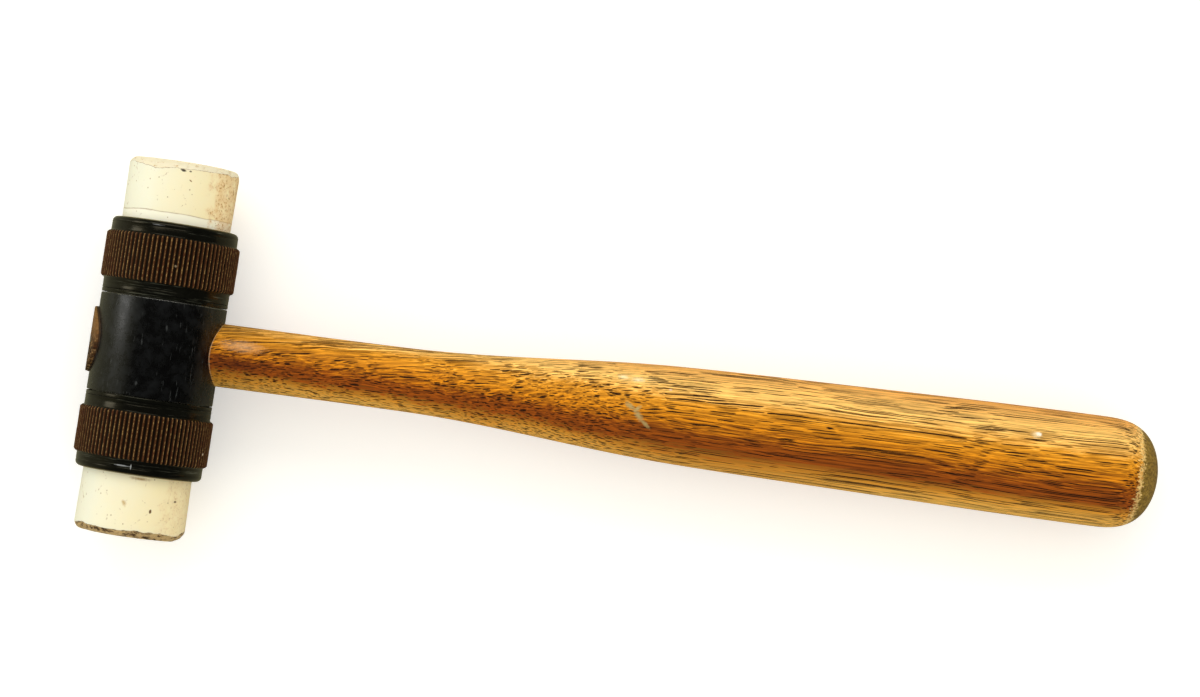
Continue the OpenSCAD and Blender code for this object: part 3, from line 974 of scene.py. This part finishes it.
def heartwood_and_shading_zones(tree, mm, grain, fibre):
    """Colour across the handle, measured from the middle of a streak of dark heartwood. It also paints the
    light across the handle: a pale band of painted highlight on the upper side, painted shade along with
    the dark streak, and a pale lower edge that is partly painted bounce light from the bench.
    """
    # The pale stop at 0.72 paints the highlight band, the two dark stops paint shade as well as heartwood,
    # and the first two stops are partly painted bounce light
    zone_codes = (
        (0, "ffca60"),
        (0.16, "d69028"),
        (0.24, "904404"),
        (0.34, "964a04"),
        (0.46, "d0800c"),
        (0.58, "e29620"),
        (0.72, "fac56a"),
        (1, "de8e38"),
    )
    tone_w = 6.25
    tone_len = 83.3
    split = add(tree, "SeparateXYZ", {"Vector": mm})
    along = split.outputs["Z"]
    streak_at = add(
        tree,
        "MapRange",
        {"Value": along, "From Min": 40, "From Max": 180, "To Min": 2.7, "To Max": 9.5},
        interpolation_type="SMOOTHSTEP",
    )
    across = add(tree, "Math", {0: split.outputs["Y"], 1: streak_at}, operation="ADD")
    tone_scale = (1 / tone_w, 1 / tone_w, 1 / tone_len)
    tone_space = add(tree, "VectorMath", {0: grain, 1: tone_scale}, operation="MULTIPLY")
    tone = add(tree, "TexNoise", {"Vector": tone_space, "Scale": 1, "Detail": 3})
    across = add(tree, "Math", {0: tone, 1: 4, 2: across}, operation="MULTIPLY_ADD")
    across = add(tree, "Math", {0: fibre, 1: 10, 2: across}, operation="MULTIPLY_ADD")
    spread = add(
        tree,
        "MapRange",
        {"Value": along, "From Min": 60, "From Max": 180, "To Min": 29, "To Max": 36},
    )
    across = add(tree, "MapRange", {"Value": across, "From Min": -1, "From Max": spread})
    zones = add(tree, "ValToRGB", {"Fac": across})
    stops = zones.color_ramp.elements
    for share, code in zone_codes:
        stop = stops[0] if share == 0 else stops[-1] if share == 1 else stops.new(share)
        stop.color = linear(code)
    return zones


def butt_end(tree, along, fibre, grit, colour):
    """The end grain of the butt has darkened, and its edge is frayed to pale fibres."""
    fray_at = handle_reach - 5.1
    frayed = add(tree, "Math", {0: fibre, 1: 5, 2: along}, operation="MULTIPLY_ADD")
    end_grain = add(tree, "MapRange", {"Value": frayed, "From Min": fray_at, "From Max": fray_at + 0.8})
    tuft = add(tree, "Math", {0: frayed, 1: fray_at - 0.1, 2: 0.9}, operation="COMPARE")
    tuft = add(tree, "Math", {0: tuft, 1: grit}, operation="MULTIPLY")
    tuft = add(tree, "MapRange", {"Value": tuft, "From Min": 0.38, "From Max": 0.6, "To Max": 0.9})
    end_spots = add(tree, "MapRange", {"Value": grit, "From Min": 0.3, "From Max": 0.7})
    end_colour = add(
        tree, "MixRGB", {"Fac": end_spots, "Color1": linear("4e3a12"), "Color2": linear("a88636")}
    )
    colour = add(tree, "MixRGB", {"Fac": end_grain, "Color1": colour, "Color2": end_colour})
    return add(tree, "MixRGB", {"Fac": tuft, "Color1": colour, "Color2": linear("f0cc80")})


def tenon_and_seams(tree, mm, grit, colour, end_codes):
    """Dirt on the filed end of the tenon, most of it on one half, and the lines along the eye."""
    dark_end, pale_end = end_codes
    split = add(tree, "SeparateXYZ", {"Vector": mm})
    from_head = from_axis(tree, mm, (1, 0, 1))
    tenon_side = add(tree, "Math", {0: split.outputs["Z"], 1: 0}, operation="LESS_THAN")
    tenon_grain = add(
        tree,
        "MapRange",
        {"Value": from_head, "From Min": barrel_r - 1, "From Max": barrel_r + 0.6, "To Max": 0.9},
    )
    tenon_grain = add(tree, "Math", {0: tenon_grain, 1: tenon_side}, operation="MULTIPLY")
    soiled = add(tree, "MapRange", {"Value": split.outputs["Y"], "From Min": 4, "From Max": -3})
    clean_grit = add(tree, "MixRGB", {"Fac": grit, "Color1": linear(dark_end), "Color2": linear(pale_end)})
    dirty_fleck = add(tree, "MapRange", {"Value": grit, "From Min": 0.5, "From Max": 0.62})
    dirty_grit = add(
        tree, "MixRGB", {"Fac": dirty_fleck, "Color1": linear("1c0e06"), "Color2": linear("8e7048")}
    )
    tenon_colour = add(tree, "MixRGB", {"Fac": soiled, "Color1": clean_grit, "Color2": dirty_grit})
    colour = add(tree, "MixRGB", {"Fac": tenon_grain, "Color1": colour, "Color2": tenon_colour})
    # Where the neck enters the eye there is a thin pale line, a painted highlight along that edge and
    # palest on the side towards the light, and where the tenon leaves it there is a dark one
    glint_side = add(
        tree, "MapRange", {"Value": split.outputs["Y"], "From Min": -7, "From Max": 2, "To Min": 0.3}
    )
    entry = add(tree, "Math", {0: from_head, 1: barrel_r + 0.1, 2: 0.14}, operation="COMPARE")
    entry = add(tree, "Math", {0: entry, 1: glint_side}, operation="MULTIPLY")
    entry = add(tree, "Math", {0: entry, 1: grit}, operation="MULTIPLY")
    colour = add(tree, "MixRGB", {"Fac": entry, "Color1": colour, "Color2": linear("d8b48c")})
    seam = add(
        tree,
        "MapRange",
        {"Value": from_head, "From Min": barrel_r + 0.55, "From Max": barrel_r + 0.3, "To Max": 0.9},
    )
    seam = add(tree, "Math", {0: seam, 1: tenon_side}, operation="MULTIPLY")
    return add(tree, "MixRGB", {"Fac": seam, "Color1": colour, "Color2": linear("1e1006")})


def oiled_hickory(name, place, end_codes, marks):
    """Ring-porous hardwood under old oil: amber, with dark open pores drawn out along the grain."""
    material, tree, mm = start_material(name, place)
    fibre_w = 0.4545
    fibre_len = 22.22
    grit_size = 0.9091
    along = add(tree, "SeparateXYZ", {"Vector": mm}).outputs["Z"]
    grain = grain_run(tree, mm)
    early, pore = open_pores(tree, grain)
    fibre_scale = (1 / fibre_w, 1 / fibre_w, 1 / fibre_len)
    fibre_space = add(tree, "VectorMath", {0: grain, 1: fibre_scale}, operation="MULTIPLY")
    fibre = add(tree, "TexNoise", {"Vector": fibre_space, "Scale": 1, "Detail": 4, "Roughness": 0.65})
    grit = add(tree, "TexNoise", {"Vector": mm, "Scale": 1 / grit_size, "Detail": 5, "Roughness": 0.7})
    zones = heartwood_and_shading_zones(tree, mm, grain, fibre)
    # The fibres themselves are lighter and darker, and the neck darkens towards the head
    light = add(
        tree,
        "MapRange",
        {"Value": fibre, "From Min": 0.3, "From Max": 0.7, "To Min": 0.36, "To Max": 1.6},
    )
    light = add(tree, "Math", {0: early, 1: -0.1, 2: light}, operation="MULTIPLY_ADD")
    by_head = add(
        tree, "MapRange", {"Value": along, "From Min": 50, "From Max": 18, "To Min": 1, "To Max": 0.8}
    )
    light = add(tree, "Math", {0: light, 1: by_head}, operation="MULTIPLY")
    colour = add(tree, "VectorMath", {0: zones, "Scale": light}, operation="SCALE")
    pore_share = add(tree, "Math", {0: pore, 1: 0.96}, operation="MULTIPLY")
    colour = add(tree, "MixRGB", {"Fac": pore_share, "Color1": colour, "Color2": linear("240e02")})
    colour = butt_end(tree, along, fibre, grit, colour)
    colour = tenon_and_seams(tree, mm, grit, colour, end_codes)
    colour = marked(tree, mm, colour, marks)
    rough = add(tree, "MapRange", {"Value": pore, "To Min": 0.5, "To Max": 0.75})
    relief = add(tree, "Math", {0: pore, 1: -1, 2: fibre}, operation="MULTIPLY_ADD")
    bump = add(tree, "Bump", {"Height": relief, "Strength": 0.35, "Distance": 0.0001})
    shader = add(
        tree,
        "BsdfPrincipled",
        {
            "Base Color": colour,
            "Roughness": rough,
            "Specular IOR Level": 0.12,
            "Normal": bump,
        },
    )
    add(tree, "OutputMaterial", {"Surface": shader})
    return material


# A dark patch and a painted sheen on the neck by the head, a scuff, a small knot, and painted highlights
# where the old oil shines: a sheen and glints on the swell and a dent's glint on the grip
handle_marks_and_glints = (
    # A dark patch on the neck by the head, and a painted sheen above it
    ((-8.8, -2, 24), (0, 0, 0), (4, 2.2, 9.5), 1.4, "3e1003"),
    ((-8.4, 3.3, 24.5), (0, 0, 0), (4, 2.3, 8), 1.8, "f4c08c"),
    ((-13.3, 1, 135.8), (0.59, 0, 0), (2, 1.1, 2.4), 0.8, "b39c64"),
    ((-13.3, 0.5, 138), (-0.7, 0, 0), (2, 0.75, 1.8), 0.8, "bca468"),
    ((-13.4, -1.4, 138.5), (0.84, 0, 0), (2, 1.2, 2.6), 0.8, "b29a64"),
    ((-13.2, -3.6, 140.8), (0.67, 0, 0), (2, 0.75, 2.2), 0.7, "a8905a"),
    ((-14.9, 2.1, 193), (0, 0, 0), (1, 0.36, 1.4), 0.4, "1d0f05"),
    # Painted highlights: a soft sheen, two glints, a small pink glint and, on the grip, a dent's glint
    ((-10, 8.8, 136), (0, 0, 0), (3, 2.6, 9), 1.8, "ffd684"),
    ((-9.7, 8.95, 133.2), (0, 0, 0), (1.5, 1, 2), 1.2, "fff0c0"),
    ((-10.3, 8.65, 137.4), (0, 0, 0), (1.5, 1, 2.4), 1.2, "fff0c0"),
    ((-12.1, 7, 146.8), (0, 0, 0), (1.2, 0.45, 0.6), 0.6, "eec4a0"),
    ((-13.9, 8.05, 252.4), (0, 0, 0), (1.8, 1.5, 2), 1, "ffe0a6"),
    ((-13.9, 8.3, 253), (0, 0, 0), (1.3, 0.8, 1.1), 0.5, "fff4dc"),
)
hickory = oiled_hickory("oiled_hickory", along_handle, ("3c220e", "9a7442"), handle_marks_and_glints)
dress(handle, hickory, "head", ["handle"])


# Wedges
# A hardwood wedge fills the slit in the tenon and spreads it in the flared eye. A small steel
# wedge driven across it locks both. They keep the shapes that the frame gives them.
def wedge_steel():
    """Mild steel as forged and driven: dull grey, peened on its end, with films of brown rust."""
    material, tree, mm = start_material("forged_mild_steel", along_handle)
    patch_size = 1.667
    dent_gap = 1.111
    patches = add(tree, "TexNoise", {"Vector": mm, "Scale": 1 / patch_size, "Detail": 6, "Roughness": 0.7})
    dents = add(tree, "TexVoronoi", {"Vector": mm, "Scale": 1 / dent_gap})
    rusty = add(
        tree,
        "MapRange",
        {"Value": patches, "From Min": 0.48, "From Max": 0.62},
        interpolation_type="SMOOTHSTEP",
    )
    colour = add(tree, "MixRGB", {"Fac": rusty, "Color1": linear("8a8781"), "Color2": linear("59361d")})
    bare = add(tree, "MapRange", {"Value": rusty, "To Min": 1, "To Max": 0.1})
    rough = add(tree, "MapRange", {"Value": rusty, "To Min": 0.38, "To Max": 0.8})
    relief = add(tree, "Math", {0: dents, 1: patches}, operation="ADD")
    bump = add(tree, "Bump", {"Height": relief, "Strength": 0.5, "Distance": 0.0002})
    shader = add(
        tree, "BsdfPrincipled", {"Base Color": colour, "Metallic": bare, "Roughness": rough, "Normal": bump}
    )
    add(tree, "OutputMaterial", {"Surface": shader})
    return material


wedge_wood = oiled_hickory("wedge_hardwood", along_handle, ("7a5a30", "cca86c"), ())
wedge_finishes = {"wood_wedge": wedge_wood, "steel_wedge": wedge_steel()}
for node, finish in wedge_finishes.items():
    wedge_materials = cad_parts[node].data.materials
    wedge_materials.clear()
    wedge_materials.append(finish)


# Bench, light and camera
# The mallet lies on a plain pale bench and is seen from straight above. A broad soft lamp stands
# beyond its upper face and a small one low at its left, and the room round it is pale.
bpy.ops.object.select_all(action="DESELECT")
bpy.ops.mesh.primitive_plane_add(size=6, location=(0, 0, 0))
bench = bpy.context.object
bench.name = "bench"
paint = bpy.data.materials.new("white_paint")
paint.use_nodes = True
tree = paint.node_tree
tree.nodes.clear()
seen = add(tree, "LightPath")
glow = add(tree, "Math", {0: seen, 1: 0.36}, operation="MULTIPLY")
# Gloss shows a darker bench and room than those that light the piece, as between dark walls
bench_colour = add(
    tree,
    "MixRGB",
    {"Fac": seen.outputs["Is Glossy Ray"], "Color1": linear("f2f1ec"), "Color2": linear("9a9878")},
)
shader = add(
    tree,
    "BsdfPrincipled",
    {
        "Base Color": bench_colour,
        "Roughness": 0.6,
        "Emission Color": linear("ffffff"),
        "Emission Strength": glow,
    },
)
add(tree, "OutputMaterial", {"Surface": shader})
bench.data.materials.append(paint)

world = bpy.data.worlds.new("room")
bpy.context.scene.world = world
world.use_nodes = True
tree = world.node_tree
tree.nodes.clear()
seen = add(tree, "LightPath")
bright_side = Vector((-0.55, 0.6, 0.3)).normalized()
direction = add(tree, "TexCoord")
left_side = Vector((-1, 0, 0))
towards = add(tree, "VectorMath", {0: direction, 1: bright_side}, operation="DOT_PRODUCT")
room_light = add(
    tree,
    "MapRange",
    {
        "Value": towards.outputs["Value"],
        "From Min": -1,
        "From Max": 1,
        "To Min": 0.78,
        "To Max": 0.98,
    },
)
left = add(tree, "VectorMath", {0: direction, 1: left_side}, operation="DOT_PRODUCT").outputs["Value"]
mirrored = add(
    tree,
    "MapRange",
    {"Value": left, "From Min": 0.55, "From Max": 0.88, "To Min": 0.02, "To Max": 0.35},
    interpolation_type="SMOOTHSTEP",
)
strength = add(
    tree,
    "Mix",
    {"Factor": seen.outputs["Is Glossy Ray"], "A": room_light.outputs[0], "B": mirrored.outputs[0]},
    data_type="FLOAT",
)
strength = add(tree, "Math", {0: strength, 1: seen.outputs["Is Camera Ray"]}, operation="MAXIMUM")
tint = add(
    tree,
    "MixRGB",
    {"Fac": seen.outputs["Is Glossy Ray"], "Color1": linear("fffdf6"), "Color2": linear("fffcd0")},
)
sky = add(tree, "Background", {"Color": tint, "Strength": strength})
add(tree, "OutputWorld", {"Surface": sky})


def soft_lamp(name, place, target, size, power):
    """A soft lamp, of a width and a height, that faces a point."""
    bpy.ops.object.select_all(action="DESELECT")
    bpy.ops.object.light_add(type="AREA", location=place)
    lamp = bpy.context.object
    lamp.name = name
    lamp.data.shape = "RECTANGLE"
    lamp.data.size, lamp.data.size_y = size
    lamp.data.energy = power
    lamp.rotation_euler = (Vector(place) - Vector(target)).to_track_quat("Z", "Y").to_euler()
    return lamp


soft_lamp("window", place=(-0.25, 0.95, 0.9), target=(-0.02, 0, 0), size=(1.2, 0.5), power=4)
soft_lamp("side_lamp", place=(-1.2, 0.25, 0.45), target=(-0.08, 0, 0), size=(0.4, 0.4), power=1.4)

camera_yaw = math.radians(2.91)
camera_pitch = math.radians(-1.13)
camera_roll = math.radians(-8.66)
camera_place = Vector((83.8, 3.2, 820.6)) * MM
photo_width = 1200
focal_pixels = 2846
sensor_width = 36
turned_by = (
    Matrix.Rotation(camera_roll, 4, "Z")
    @ Matrix.Rotation(camera_pitch, 4, "X")
    @ Matrix.Rotation(camera_yaw, 4, "Y")
)
bpy.ops.object.select_all(action="DESELECT")
bpy.ops.object.camera_add()
camera = bpy.context.object
camera.data.sensor_width = sensor_width
camera.data.lens = focal_pixels / photo_width * sensor_width
camera.matrix_world = lying @ Matrix.Translation(camera_place) @ turned_by.inverted()
bpy.context.scene.camera = camera
bpy.context.scene.view_settings.view_transform = "Standard"
